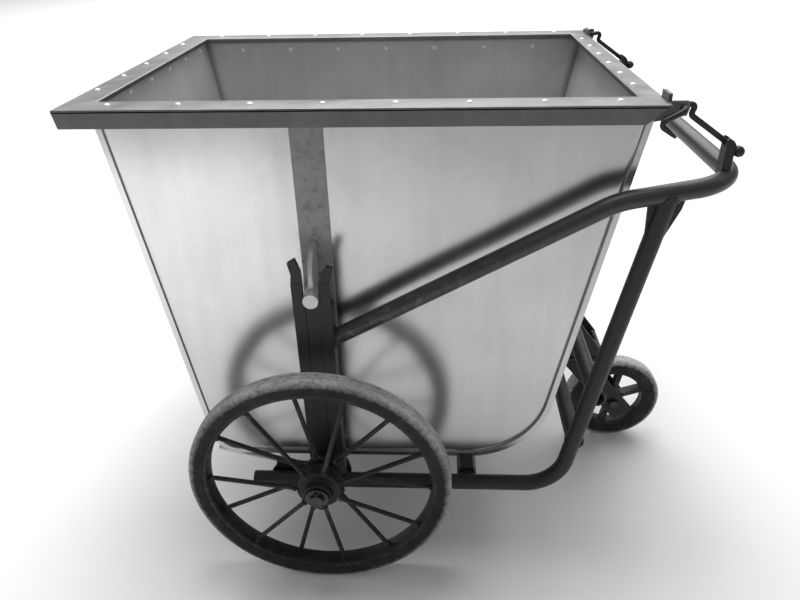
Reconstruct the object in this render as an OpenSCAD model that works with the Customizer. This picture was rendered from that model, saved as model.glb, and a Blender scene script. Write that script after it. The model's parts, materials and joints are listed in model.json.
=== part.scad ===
// Three-wheel tipping refuse cart: galvanised sheet hopper on trunnion pins in a welded tube frame.
// X runs from the front (tipping) end to the handle, Z is up, Y = 0 is the middle of the cart.
// The origin is on the ground under the middle of the overall length. "left" is the -Y side.

/* [Hopper] */
// Length over the rim, front to rear
rim_len = 949; // [940:1:960]
// Width over the rim
rim_w = 717; // [712:1:722]
// Height of the rim above the ground
rim_z = 935; // [930:1:945]
// Distance from the front of the rim back to the main axle
rim_front = 382; // [376:1:388]
// How far the rim stands out from the side panels
rim_out = 42; // [40:1:44]
// Height of the rim rails
rail_h = 28; // [25:1:30]
// Height of the hopper bottom above the ground
bottom_z = 198; // [197.8:0.1:200]
// Lean of the front wall, degrees from upright
front_lean = 7.7; // [7:0.1:8.4]
// Lean of the rear wall, degrees from upright
rear_lean = 10.6; // [10:0.1:11.2]
// Bend radius of the front bottom corner
front_r = 60; // [50:1:64]
// Bend radius of the rear bottom corner
rear_r = 170; // [160:1:180]
// Sheet thickness
sheet = 2; // [1:0.5:2]
// Width of the folded seam along the panel edges
seam_w = 10; // [6:1:14]

/* [Trunnion] */
// Height of the trunnion pins
pin_z = 615; // [612:1:618]
// Trunnion pin diameter
pin_d = 27; // [25:1:28]
// Trunnion pin end, measured from the middle of the cart
pin_end = 395; // [390:1:400]

/* [Main wheels] */
// Wheel diameter
wheel_d = 500; // [490:1:504]
// Distance from the middle of the cart to the middle of a wheel
wheel_y = 451; // [448:1:456]
// Tyre width
tyre_w = 40; // [34:1:42]
// Radial thickness of the rubber tyre
tyre_t = 31; // [26:1:34]
// Number of spokes
spoke_n = 14; // [8:2:20]
// Spoke diameter
spoke_d = 9; // [6:0.5:10]
// Axle diameter
axle_d = 25; // [22:1:26]

/* [Frame] */
// Outside diameter of the frame tubes
tube_d = 31; // [28:1:32]
// Tube wall thickness
tube_t = 2.5; // [2:0.5:3]
// Distance from the middle of the cart to the side tubes
tube_y = 365; // [364:1:368]
// Height of the lower rails
rail_z = 172; // [170:1:174]
// Height of the handle bar
handle_z = 818; // [812:1:826]
// Distance from the main axle back to the handle bar
handle_x = 688; // [680:1:696]
// Corner bend radius of the handle
handle_r = 65; // [60:1:72]

/* [Caster] */
// Caster wheel diameter
caster_d = 230; // [224:1:232]
// Caster wheel width
caster_w = 38; // [34:1:40]
// Distance from the main axle back to the caster wheel's axle
caster_x = 664; // [658:1:670]
// Trail of the caster wheel behind its kingpin
trail = 96; // [90:1:100]

/* [Rivets] */
// Rivet head diameter
rivet_d = 11; // [8:0.5:12]
// Rivet head height
rivet_h = 4; // [2:0.5:5]

/* [Hidden] */
$fn = 48;
fit = 0.05;                                   // radial clearance of the running fits
gap = 0.3;                                    // clearance between pieces that only pass each other

// --- places along X, measured from the main axle ---
rim_rear = rim_len - rim_front;
axle_x = (rim_front - caster_x - caster_d / 2) / 2;
kingpin_x = caster_x - trail;
pin_x = 3;
rest_x = 285;

// --- hopper ---
half_in = rim_w / 2 - rim_out;                // outside of the side panels
cap_t = sheet;
rail_top = rim_z - cap_t;
rail_low = rail_top - rail_h;
rail_t = 3;
wall_front_x = -338;                          // outside of the front wall at wall_z
wall_rear_x = 554.5;                          // outside of the rear wall at wall_z
wall_z = 896;
cap_in_y = half_in - 13;                      // inner edges of the flat cap strips
cap_in_front = -330;
cap_in_rear = rim_rear - 38;
strip_w = 55;
strip_t = 4;
strip_x = 7;

// --- frame ---
tube_r = tube_d / 2;
bend_swell = 0.15;
bend_lap = 2;
slope_1 = 29;
bend_x = 506;
slope_2 = 10.2;
bend_z = handle_z - (handle_x - bend_x) * tan(slope_2);
bend_r = 150;
leg_top_x = 584;
leg_top_z = bend_z + (leg_top_x - bend_x) * tan(slope_2);
leg_foot_x = 466.5;
leg_slope = atan2(leg_top_z - rail_z, leg_top_x - leg_foot_x);
leg_r = 80;
rail_front_x = -152;
post_w = 67;
post_y0 = tube_y - 15;
post_y1 = tube_y + 20;
post_t = 5;
post_web = 8;
post_top = 645;
flange_top = 596;
slot_half = pin_d / 2 + 2 * fit;
cross_low = [491.5, 283.5];
cross_high = [520, 392];
cross_front = [3, 126];
plate_t = 6;
saddle_y = tube_y - tube_r - 0.1;             // outer faces of the saddle plates
cope = 0.1;                                   // clearance where a tube or plate is shaped to a tube

// --- main wheels ---
wheel_r = wheel_d / 2;
rim_ring_r = wheel_r - tyre_t;
rim_ring_t = 6;
rim_ring_w = 34;
flange_r = 42;
flange_off = 20;
flange_t = 5;
barrel_r = 27;
barrel_half = 40;
bearing_r = 23.5;
bearing_w = 12;
axle_end = wheel_y + 52;

// --- caster ---
caster_r = caster_d / 2;
caster_core_r = 83;
caster_hub_r = 23;
bush_r = 13;
fork_y = 26;
fork_t = 6;
crown_z = caster_d + 4;
race_z = crown_z + fork_t;
top_plate_z = race_z + 14;
mount_z = top_plate_z + 6;
mount_t = cross_low[1] - tube_r - mount_z;
bolt_r = 7;

// --- latches ---
latch_x = 585;
latch_z = 929;
latch_r = 4.5;
latch_y = 338;
lug_y = 346;
tab_y = 366;
latch_from = [602, 915];
latch_to = [686, 857.5];
catch_x = 668.5;
catch_half = 7;
catch_t = 5;
catch_gap = latch_r + 1.5;

// ---------- helpers ----------

// puts a child that is drawn from the main axle into the cart's frame
module from_axle() translate([axle_x, 0, 0]) children();

// draws a child on the left side, the right side or both
module on_left() children();
module on_right() mirror([0, 1, 0]) children();
module on_both() {
    on_left() children();
    on_right() children();
}

// an XZ outline, extruded on the left side from y0 out to y1
module plate_xz(y0, y1) translate([0, -y0, 0]) rotate([90, 0, 0]) linear_extrude(y1 - y0) children();

// a round bar between two points
module bar(p, q, r) {
    v = q - p;
    len = norm(v);
    translate(p) rotate([0, acos(v[2] / len), atan2(v[1], v[0])]) cylinder(h = len, r = r);
}

// a round tube between two points, open at both ends, which runs on a little way past each of them
module tube(p, q, past_p = 0, past_q = 0) {
    v = q - p;
    len = norm(v) + past_p + past_q;
    translate(p) rotate([0, acos(v[2] / norm(v)), atan2(v[1], v[0])]) translate([0, 0, -past_p])
        difference() {
            cylinder(h = len, r = tube_r);
            translate([0, 0, -1]) cylinder(h = len + 2, r = tube_r - tube_t);
        }
}

// a tube bend in the local XY plane, about the local origin; its wall is a little thicker than the
// straight tubes', which run into it
module tube_bend(r, from, turn) rotate([0, 0, from]) rotate_extrude(angle = turn) translate([r, 0])
    difference() {
        circle(tube_r + bend_swell);
        circle(tube_r - tube_t - bend_swell);
    }

// a tube bend in the XZ plane of the left side tubes
module side_bend(c, r, from, turn) translate([c[0], -tube_y, c[1]]) rotate([90, 0, 0])
    tube_bend(r, from, turn);

// a round bar along a list of points, with corners that are a little swollen, as bent rod is
module wire(points, r) {
    for (i = [0 : len(points) - 2]) bar(points[i], points[i + 1], r);
    for (i = [0 : len(points) - 1]) translate(points[i]) sphere(r + 0.4);
}

// a straight cross tube from side to side, at [x, z]
module cross_tube(at, half) tube([at[0], -half, at[1]], [at[0], half, at[1]]);

// a domed rivet head standing on the local XY plane
module rivet_head() {
    dome_r = (rivet_d * rivet_d / 4 + rivet_h * rivet_h) / (2 * rivet_h);
    intersection() {
        translate([0, 0, rivet_h - dome_r]) sphere(dome_r);
        cylinder(h = 2 * rivet_h, r = rivet_d);
    }
}

// ---------- hopper outline ----------

function front_x(z) = wall_front_x + (wall_z - z) * tan(front_lean);
function rear_x(z) = wall_rear_x - (wall_z - z) * tan(rear_lean);
function arc(c, r, from, to, n) = [for (i = [0 : n])
    let (a = from + (to - from) * i / n) [c[0] + r * cos(a), c[1] + r * sin(a)]];

front_c = [front_x(bottom_z + front_r) + front_r / cos(front_lean), bottom_z + front_r];
rear_c = [rear_x(bottom_z + rear_r) - rear_r / cos(rear_lean), bottom_z + rear_r];

// the side view of the hopper, set in by d from its outside, up to height z
function hopper_outline(d, z) = concat(
    [[front_x(z) + d / cos(front_lean), z]],
    arc(front_c, front_r - d, 180 + front_lean, 270, 10),
    arc(rear_c, rear_r - d, 270, 360 - rear_lean, 16),
    [[rear_x(z) - d / cos(rear_lean), z]]
);
function reversed(list) = [for (i = [len(list) - 1 : -1 : 0]) list[i]];

// a band of the outline between insets d0 and d1, open at the top
module outline_band(d0, d1, z) polygon(concat(hopper_outline(d0, z), reversed(hopper_outline(d1, z))));

// ---------- hopper ----------

module hopper_wrapper() color("gainsboro") from_axle() {
    plate_xz(-half_in, half_in) outline_band(0, sheet, rail_top);
    on_both() plate_xz(half_in, half_in + sheet) outline_band(0, seam_w, rail_low - gap);
}

module side_panel() from_axle() plate_xz(half_in - sheet, half_in)
    polygon(hopper_outline(sheet, rail_top));
module hopper_side_left() color("gainsboro") on_left() side_panel();
module hopper_side_right() color("gainsboro") on_right() side_panel();

module side_rail() from_axle() difference() {
    plate_xz(half_in, half_in + rim_out) polygon([
        [-rim_front, rail_top], [-rim_front + 5, rail_low],
        [rim_rear - 35, rail_low], [rim_rear, rail_top]
    ]);
    plate_xz(half_in + rail_t, half_in + rim_out - rail_t) polygon([
        [-rim_front - 10, rail_top - rail_t], [-rim_front - 10, rail_low - 1],
        [rim_rear + 10, rail_low - 1], [rim_rear + 10, rail_top - rail_t]
    ]);
}
module rim_rail_left() color("dimgray") on_left() side_rail();
module rim_rail_right() color("dimgray") on_right() side_rail();

module rim_rail_front() color("dimgray") from_axle() plate_xz(-half_in, half_in) difference() {
    polygon([
        [-rim_front, rail_top], [-rim_front + 5, rail_low],
        [front_x(rail_low) - cope, rail_low], [front_x(rail_top) - cope, rail_top]
    ]);
    polygon([
        [-rim_front + rail_t, rail_top - rail_t], [-rim_front + 5 + rail_t, rail_low - 1],
        [front_x(rail_low) - rail_t, rail_low - 1],
        [front_x(rail_top) - rail_t, rail_top - rail_t]
    ]);
}

module rim_rail_rear() color("dimgray") from_axle() plate_xz(-half_in, half_in) polygon([
    [rear_x(rail_top), rail_top], [rear_x(rail_low), rail_low],
    [rim_rear - 5, rail_low], [rim_rear, rail_top]
]);

module rim_cap() color("silver") from_axle() difference() {
    translate([-rim_front, -rim_w / 2, rail_top]) cube([rim_len, rim_w, cap_t]);
    translate([cap_in_front, -cap_in_y, rail_top - 1])
        cube([cap_in_rear - cap_in_front, 2 * cap_in_y, cap_t + 2]);
}

module rim_rivets() color("white") from_axle() {
    on_both() for (i = [0 : 7]) translate([-302 + i * 114, -(half_in + 15), rim_z]) rivet_head();
    for (i = [-2 : 2]) translate([-rim_front + 18, i * 113, rim_z]) rivet_head();
    for (i = [-2.5 : 2.5]) translate([rim_rear - 26, i * 90, rim_z]) rivet_head();
}

module wall_rivets() color("white") from_axle() {
    row_z = rail_low + 3;
    on_both() for (i = [0 : 6]) translate([-250 + i * 116, -(half_in - sheet), row_z])
        rotate([-90, 0, 0]) rivet_head();
    front_z = rail_low + 12;
    for (i = [-2.5 : 2.5])
        translate([front_x(front_z) + sheet / cos(front_lean), i * 104, front_z])
            rotate([0, 90 - front_lean, 0]) rivet_head();
}

module side_strips() color("gray") from_axle() on_both() plate_xz(half_in, half_in + strip_t)
    polygon([
        [strip_x - strip_w / 2, rail_low - gap], [strip_x + strip_w / 2, rail_low - gap],
        [strip_x + strip_w / 2, 500], [strip_x - strip_w / 2, 500]
    ]);

module trunnion_pin() from_axle() translate([pin_x, -(half_in + strip_t), pin_z]) rotate([90, 0, 0])
    cylinder(h = pin_end - half_in - strip_t, r = pin_d / 2);
module trunnion_pin_left() color("lightgray") on_left() trunnion_pin();
module trunnion_pin_right() color("lightgray") on_right() trunnion_pin();

// upright gussets over the trunnion pins; they stay inside the post's web, so that they can swing
module trunnion_gussets() color("lightgray") from_axle() on_both() {
    root = half_in + strip_t;
    tip = post_y1 - post_web - 1;
    low = pin_z + pin_d / 2 - 3;
    difference() {
        translate([pin_x + 4, 0, 0]) rotate([90, 0, -90]) linear_extrude(8) polygon([
            [root, low], [tip, low], [tip, low + 30], [tip - 12, low + 52], [root + 22, low + 69],
            [root, low + 74]
        ]);
        translate([pin_x, -root + 1, pin_z]) rotate([90, 0, 0])
            cylinder(h = pin_end - root + 2, r = pin_d / 2 + fit);
    }
}

// thin skid under the front bottom corner, on which the empty hopper can be set down
skid_drop = tan(14.8);
function skid_z(x) = front_c[1] - (front_r + gap) / cos(14.8) - skid_drop * (x - front_c[0]);
module corner_skids() color("silver") from_axle() on_both() plate_xz(half_in - 14, half_in)
    polygon([
        [-242, skid_z(-242)], [-45, skid_z(-45)], [-45, skid_z(-45) - 5], [-242, skid_z(-242) - 5]
    ]);

// an upright bar behind the rim, and a lug inside the end of the side rail that holds the latch rod
module latch_brackets() color("dimgray") from_axle() on_both() {
    translate([rim_rear, -latch_y + latch_r + 2.5, rail_low + 3]) cube([6, 34, 37]);
    difference() {
        plate_xz(lug_y, lug_y + 5) polygon([
            [rim_rear - 22, rail_low + 3], [latch_x + 7, latch_z - 12], [latch_x + 10, latch_z],
            [latch_x + 7, latch_z + 10], [rim_rear, latch_z + 10], [rim_rear, rail_top - rail_t],
            [rim_rear - 22, rail_top - rail_t]
        ]);
        translate([latch_x, -lug_y + 1, latch_z]) rotate([90, 0, 0]) cylinder(h = 8, r = latch_r + fit);
    }
}

// ---------- latches ----------

// the rod turns in the lug; one end hooks over the catch and the other is a bent finger tab
module latch_rod() from_axle() {
    wire([[576, -tab_y, 888], [548, -tab_y, 909], [latch_x, -tab_y, latch_z],
        [latch_x, -latch_y, latch_z], [608, -latch_y, 932],
        [latch_from[0], -latch_y, latch_from[1]], [latch_to[0], -latch_y, latch_to[1]]], latch_r);
    translate([latch_to[0], -latch_y, latch_to[1]]) sphere(9);
}
module latch_rod_left() color("dimgray") on_left() latch_rod();
module latch_rod_right() color("dimgray") on_right() latch_rod();

// ---------- frame ----------

module handle_side() {
    t1 = bend_r * tan((slope_1 - slope_2) / 2);
    u1 = [cos(slope_1), sin(slope_1)];
    u2 = [cos(slope_2), sin(slope_2)];
    corner = [bend_x, bend_z];
    start = corner - u1 * (bend_x - pin_x - post_w / 2) / cos(slope_1);
    a = corner - u1 * t1;
    b = corner + u2 * t1;
    c = [handle_x, handle_z] - u2 * handle_r;
    difference() {
        tube([start[0], -tube_y, start[1]], [a[0], -tube_y, a[1]], tube_d, bend_lap);
        translate([pin_x + post_w / 2 - 100, -tube_y - 50, start[1] - 100]) cube([100, 100, 200]);
    }
    side_bend(a + [u1[1], -u1[0]] * bend_r, bend_r, 90 + slope_2, slope_1 - slope_2);
    tube([b[0], -tube_y, b[1]], [c[0], -tube_y, c[1]], bend_lap, bend_lap);
    translate([c[0], -tube_y + handle_r, c[1]]) rotate([0, -slope_2, 0]) tube_bend(handle_r, -90, 90);
}
module handle_tube() color("dimgray") from_axle() {
    on_both() handle_side();
    cross_tube([handle_x, handle_z], tube_y - handle_r + bend_lap);
}

// the straight of the handle tube over the legs, as a solid bar
module handle_envelope() bar([bend_x, -tube_y, bend_z], [handle_x, -tube_y, handle_z], tube_r + cope);

module leg_tube() from_axle() {
    t = leg_r * tan(leg_slope / 2);
    u = [cos(leg_slope), sin(leg_slope)];
    foot = [leg_foot_x, rail_z];
    a = foot + u * t;
    tube([rail_front_x, -tube_y, rail_z], [leg_foot_x - t, -tube_y, rail_z], 0, bend_lap);
    side_bend([leg_foot_x - t, rail_z + leg_r], leg_r, -90, leg_slope);
    difference() {
        tube([a[0], -tube_y, a[1]], [leg_top_x, -tube_y, leg_top_z], bend_lap, 0);
        handle_envelope();
    }
}
module leg_tube_left() color("dimgray") on_left() leg_tube();
module leg_tube_right() color("dimgray") on_right() leg_tube();

// flat webs that widen the top of each leg under the handle tube
module leg_gussets() color("dimgray") from_axle() on_both() difference() {
    translate([leg_top_x, 0, leg_top_z]) rotate([0, 90 - leg_slope, 0])
        plate_xz(tube_y - 3, tube_y + 3) polygon([
            [-tube_r - 11, 0], [tube_r + 11, 0], [tube_r + 11, -tube_r - 6], [tube_r - 1, -tube_r - 62],
            [-tube_r + 1, -tube_r - 62], [-tube_r - 11, -tube_r - 12]
        ]);
    handle_envelope();
    bar([leg_foot_x, -tube_y, rail_z], [leg_top_x, -tube_y, leg_top_z], tube_r + cope);
}

module post() from_axle() {
    x0 = pin_x - post_w / 2;
    low = rail_z + tube_r;
    difference() {
        translate([x0, -post_y1, low]) cube([post_w, post_y1 - post_y0, post_top - low]);
        translate([x0 + post_t, -post_y1 + post_web, low - 1])
            cube([post_w - 2 * post_t, post_y1, post_top - low + 2]);
        translate([x0 - 1, -post_y1 + post_web, flange_top])
            cube([post_w + 2, post_y1, post_top]);
        translate([pin_x, -post_y0 + 1, pin_z]) rotate([90, 0, 0])
            cylinder(h = post_y1 - post_y0 + 2, r = slot_half);
        translate([pin_x - slot_half, -post_y1 - 1, pin_z])
            cube([2 * slot_half, post_y1 - post_y0 + 2, post_top]);
        translate([0, -post_y0 + 1, wheel_r]) rotate([90, 0, 0])
            cylinder(h = post_y1 - post_y0 + 2, r = axle_d / 2);
    }
}
module post_left() color("dimgray") on_left() post();
module post_right() color("dimgray") on_right() post();

// flared ears that steer the trunnion pin down into the slot
module pin_guides() color("dimgray") from_axle() on_both() {
    x0 = pin_x - post_w / 2;
    x1 = pin_x + post_w / 2;
    plate_xz(post_y1 - post_web, post_y1) {
        polygon([
            [x0, post_top], [pin_x - slot_half, post_top], [-11, 668], [-19, 692], [-33, 684],
            [x0 + 2, 661]
        ]);
        polygon([[pin_x + slot_half, post_top], [x1, post_top], [45, 674], [34, 679], [22, 660]]);
    }
}

// a saddle plate inside each lower rail at the foot of the post, and a plate that drops from it to
// the front cross tube
module rail_plates() color("dimgray") from_axle() on_both() {
    inner = saddle_y - plate_t;
    difference() {
        plate_xz(inner, saddle_y) polygon([
            [-124, rail_z - 6], [-124, rail_z + 4], [-112, rail_z + 22], [-111, rail_z + 33],
            [-77, rail_z + 35], [-70, rail_z + 30], [-46, rail_z + 30], [-36, rail_z + 40],
            [38, rail_z + 40], [44, rail_z + 16], [44, rail_z - 6]
        ]);
        for (x = [-84, -62]) translate([x, -inner + 1, rail_z + 20.5]) rotate([90, 0, 0])
            cylinder(h = plate_t + 2, r = 3);
    }
    plate_xz(inner - plate_t, inner) polygon([
        [cross_front[0] - 22, cross_front[1] - tube_r], [cross_front[0] + 22, cross_front[1] - tube_r],
        [cross_front[0] + 22, rail_z + 10], [cross_front[0] - 22, rail_z + 10]
    ]);
}

module cross_tube_front() color("dimgray") from_axle()
    cross_tube(cross_front, saddle_y - 2 * plate_t);

// envelope of the legs and rails, taken out of the ends of the cross tubes
module leg_envelope() {
    on_both() bar([leg_foot_x, -tube_y, rail_z], [leg_top_x, -tube_y, leg_top_z], tube_r + cope);
    on_both() bar([rail_front_x, -tube_y, rail_z], [leg_foot_x - leg_r, -tube_y, rail_z], tube_r + cope);
}
module coped_tube(at) color("dimgray") from_axle() difference() {
    cross_tube(at, tube_y - 4);
    leg_envelope();
}
module cross_tube_middle() coped_tube([rest_x, rail_z]);
module cross_tube_low() coped_tube(cross_low);
module cross_tube_high() coped_tube(cross_high);

module rest_blocks() color("dimgray") from_axle() on_both() difference() {
    plate_xz(half_in - 26, tube_y - tube_r - 1) polygon([
        [rest_x - 20, rail_z], [rest_x + 20, rail_z],
        [rest_x + 12, bottom_z - gap], [rest_x - 14, bottom_z - gap]
    ]);
    translate([rest_x, -tube_y, rail_z]) rotate([-90, 0, 0]) cylinder(h = 90, r = tube_r + cope);
}

// ---------- caster mounting ----------

module caster_mount_plate() color("dimgray") from_axle() difference() {
    translate([cross_low[0] - 18, -58, mount_z]) cube([kingpin_x + 52 - cross_low[0] + 18, 116, mount_t]);
    mount_holes(mount_z - 1, mount_t + 2);
}
module mount_holes(z, h) for (x = [-38, 38], y = [-38, 38]) translate([kingpin_x + x, y, z])
    cylinder(h = h, r = 5.5);

module caster_mount_gussets() color("dimgray") from_axle() {
    low = mount_z + mount_t;
    on_both() difference() {
        plate_xz(48, 48 + plate_t) polygon([
            [cross_low[0], low], [kingpin_x + 48, low], [kingpin_x + 48, low + 10],
            [cross_high[0] + 10, cross_high[1] - 2], cross_high, cross_low
        ]);
        for (at = [cross_low, cross_high]) translate([at[0], -70, at[1]]) rotate([-90, 0, 0])
            cylinder(h = 140, r = tube_r + cope);
    }
}

// ---------- handle catches and caps ----------

// open-topped saddles welded on the corners of the handle, in which the latch rods lie
function under_latch(x) = latch_from[1] - (latch_r + 1.5)
    + (x - latch_from[0]) * (latch_to[1] - latch_from[1]) / (latch_to[0] - latch_from[0]);
module latch_catches() color("dimgray") from_axle() on_both() difference() {
    low = handle_z + 2;
    x0 = catch_x - catch_half;
    x1 = catch_x + catch_half;
    union() {
        for (y0 = [latch_y - catch_gap - catch_t, latch_y + catch_gap]) plate_xz(y0, y0 + catch_t) polygon([
            [x0, low], [x1, low], [x1, low + 52], [x1 - 4, low + 57], [x0 + 3, low + 61],
            [x0, low + 58]
        ]);
        plate_xz(latch_y - catch_gap, latch_y + catch_gap)
            polygon([[x0, low], [x1, low], [x1, under_latch(x1)], [x0, under_latch(x0)]]);
    }
    u2 = [cos(slope_2), sin(slope_2)];
    c = [handle_x, handle_z] - u2 * handle_r;
    translate([c[0], -tube_y + handle_r, c[1]]) rotate([0, -slope_2, 0]) rotate([0, 0, -100])
        rotate_extrude(angle = 110) translate([handle_r, 0]) circle(tube_r + bend_swell + cope);
}

module rail_end_caps() color("dimgray") from_axle() on_both()
    translate([rail_front_x - 4, -tube_y, rail_z]) rotate([0, 90, 0]) {
        cylinder(h = 4, r = tube_r);
        cylinder(h = 14, r = tube_r - tube_t - 0.3);
    }

// ---------- axles and main wheels ----------

module stub_axle() from_axle() difference() {
    translate([0, -post_y0 + 6, wheel_r]) rotate([90, 0, 0]) cylinder(h = axle_end - post_y0 + 6, r = axle_d / 2);
    translate([0, -axle_end + 4, wheel_r - axle_d]) cylinder(h = 2 * axle_d, r = 2.5);
}
module stub_axle_left() color("gray") on_left() stub_axle();
module stub_axle_right() color("gray") on_right() stub_axle();

// a ring about the wheel axis, from y0 out to y1
module wheel_ring(y0, y1, r_in, r_out) translate([0, -y0, wheel_r]) rotate([90, 0, 0]) difference() {
    cylinder(h = y1 - y0, r = r_out);
    translate([0, 0, -1]) cylinder(h = y1 - y0 + 2, r = r_in);
}

// a spacer on the inner side of each wheel and a washer on its outer side
module axle_collars() color("gray") from_axle() on_both() {
    wheel_ring(post_y1, wheel_y - barrel_half - 0.5, axle_d / 2, 17);
    wheel_ring(wheel_y + barrel_half + 0.5, wheel_y + barrel_half + 4, axle_d / 2, 22);
}

module cotter_pins() color("silver") from_axle() on_both() {
    translate([0, -axle_end + 4, wheel_r - 18]) cylinder(h = 36, r = 2.4);
    translate([0, -axle_end + 4, wheel_r + 18]) sphere(3.5);
}

// a body of revolution about the left wheel's axis; the profile is [radius, distance outwards]
module about_wheel() translate([0, -wheel_y, wheel_r]) rotate([90, 0, 0]) children();

function tyre_profile(r_in, r_out, w, edge) = concat(
    [[r_in, -w / 2 + 3], [r_in + 8, -w / 2]],
    arc([r_out - edge, -w / 2 + edge], edge, -90, 0, 6),
    arc([r_out - edge, w / 2 - edge], edge, 0, 90, 6),
    [[r_in + 8, w / 2], [r_in, w / 2 - 3]]
);

module tyre() from_axle() about_wheel() rotate_extrude($fn = 96)
    polygon(tyre_profile(rim_ring_r, wheel_r, tyre_w, 12));

module rim_ring() from_axle() about_wheel() rotate_extrude($fn = 96) polygon([
    [rim_ring_r - rim_ring_t, -rim_ring_w / 2 + 2], [rim_ring_r, -rim_ring_w / 2],
    [rim_ring_r, rim_ring_w / 2], [rim_ring_r - rim_ring_t, rim_ring_w / 2 - 2]
]);

module spokes() from_axle() about_wheel() for (i = [0 : spoke_n - 1]) {
    off = i % 2 == 0 ? flange_off : -flange_off;
    a = 22.4 + i * 360 / spoke_n;
    u = [cos(a), sin(a), 0];
    bar(u * (flange_r + 0.5) + [0, 0, off], u * (rim_ring_r - rim_ring_t - 0.5) + [0, 0, off / 4],
        spoke_d / 2);
}

module hub() from_axle() about_wheel() difference() {
    union() {
        translate([0, 0, -barrel_half]) cylinder(h = 2 * barrel_half, r = barrel_r);
        for (s = [-1, 1]) translate([0, 0, s * flange_off - flange_t / 2])
            cylinder(h = flange_t, r = flange_r);
    }
    translate([0, 0, -barrel_half - 1]) cylinder(h = 2 * barrel_half + 2, r = axle_d / 2 + 2);
    for (s = [0, 1]) mirror([0, 0, s]) translate([0, 0, barrel_half - bearing_w - 1])
        cylinder(h = bearing_w + 2, r = bearing_r);
}

module bearings() from_axle() about_wheel() for (s = [0, 1]) mirror([0, 0, s])
    translate([0, 0, barrel_half - bearing_w - 1]) difference() {
        cylinder(h = bearing_w, r = bearing_r);
        translate([0, 0, -1]) cylinder(h = bearing_w + 2, r = axle_d / 2 + fit);
    }

module wheel_left_tyre() color("black") on_left() tyre();
module wheel_left_rim() color("dimgray") on_left() rim_ring();
module wheel_left_spokes() color("dimgray") on_left() spokes();
module wheel_left_hub() color("dimgray") on_left() hub();
module wheel_left_bearings() color("silver") on_left() bearings();
module wheel_right_tyre() color("black") on_right() tyre();
module wheel_right_rim() color("dimgray") on_right() rim_ring();
module wheel_right_spokes() color("dimgray") on_right() spokes();
module wheel_right_hub() color("dimgray") on_right() hub();
module wheel_right_bearings() color("silver") on_right() bearings();

// ---------- caster ----------

module caster_top_plate() color("gray") from_axle() difference() {
    translate([kingpin_x - 50, -50, top_plate_z]) cube([100, 100, mount_z - top_plate_z]);
    mount_holes(top_plate_z - 1, mount_z - top_plate_z + 2);
    translate([kingpin_x, 0, top_plate_z - 1]) cylinder(h = 20, r = 8);
}

module caster_mount_bolts() color("silver") from_axle()
    for (x = [-38, 38], y = [-38, 38]) translate([kingpin_x + x, y, 0]) {
        translate([0, 0, top_plate_z - 6]) cylinder(h = 6, r = 9, $fn = 6);
        translate([0, 0, top_plate_z]) cylinder(h = mount_z + mount_t - top_plate_z, r = 5);
        translate([0, 0, mount_z + mount_t]) cylinder(h = 9, r = 9, $fn = 6);
    }

module caster_swivel_race() color("gray") from_axle() translate([kingpin_x, 0, 0]) difference() {
    union() {
        translate([0, 0, race_z + 0.3]) cylinder(h = 5, r = 30);
        translate([0, 0, race_z + 5.3]) cylinder(h = top_plate_z - race_z - 5.3, r = 34);
    }
    translate([0, 0, race_z - 1]) cylinder(h = 20, r = 8);
}

module caster_kingpin() color("silver") from_axle() translate([kingpin_x, 0, 0]) {
    translate([0, 0, crown_z - 3.6]) cylinder(h = mount_z - crown_z + 3.6, r = 8 - fit);
}

// fork legs slope down and back from the crown to the wheel's axle
leg_dir = [sin(39.7), -cos(39.7)];
leg_nrm = [cos(39.7), sin(39.7)];
fork_half_w = 27;
function on_fork(along, across) = [caster_x, caster_r] + leg_dir * along + leg_nrm * across;
function fork_x(z, across) = on_fork(0, across)[0] + (z - on_fork(0, across)[1]) * leg_dir[0] / leg_dir[1];

module caster_fork() color("dimgray") from_axle() difference() {
    union() {
        on_both() plate_xz(fork_y, fork_y + fork_t) polygon([
            on_fork(42, -fork_half_w), on_fork(42, fork_half_w),
            [fork_x(race_z, fork_half_w), race_z], [fork_x(race_z, -fork_half_w), race_z]
        ]);
        translate([fork_x(race_z, -fork_half_w), -fork_y, crown_z])
            cube([fork_x(race_z, fork_half_w) - fork_x(race_z, -fork_half_w), 2 * fork_y, fork_t]);
    }
    translate([kingpin_x, 0, crown_z - 1]) cylinder(h = fork_t + 2, r = 8);
    translate([caster_x, 50, caster_r]) rotate([90, 0, 0]) cylinder(h = 100, r = bolt_r + fit);
}

module about_caster() translate([caster_x, 0, caster_r]) rotate([90, 0, 0]) children();

module caster_axle_bolt() color("silver") from_axle() about_caster() {
    side = fork_y + fork_t;
    translate([0, 0, -side - 14]) cylinder(h = 2 * side + 22, r = bolt_r);
    translate([0, 0, side]) cylinder(h = 8, r = 12, $fn = 6);
    translate([0, 0, -side - 10]) cylinder(h = 10, r = 12, $fn = 6);
}

module caster_rim() color("dimgray") from_axle() about_caster() rotate_extrude($fn = 96) polygon([
    [caster_core_r - 9, -caster_w / 2 + 6], [caster_core_r, -caster_w / 2 + 2],
    [caster_core_r, caster_w / 2 - 2], [caster_core_r - 9, caster_w / 2 - 6]
]);

module caster_spokes() color("dimgray") from_axle() about_caster()
    for (i = [0 : 5]) rotate([0, 0, 20 + i * 60])
        translate([caster_hub_r + cope, -6, -caster_w / 2 + 8])
            cube([caster_core_r - 10 - caster_hub_r, 12, caster_w - 16]);

module caster_hub() color("dimgray") from_axle() about_caster() difference() {
    translate([0, 0, -caster_w / 2 - 3]) cylinder(h = caster_w + 6, r = caster_hub_r);
    translate([0, 0, -caster_w / 2 - 4]) cylinder(h = caster_w + 8, r = bush_r);
}

module caster_bush() color("silver") from_axle() about_caster() difference() {
    translate([0, 0, -fork_y + 0.5]) cylinder(h = 2 * fork_y - 1, r = bush_r);
    translate([0, 0, -fork_y]) cylinder(h = 2 * fork_y, r = bolt_r + fit);
}

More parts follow.
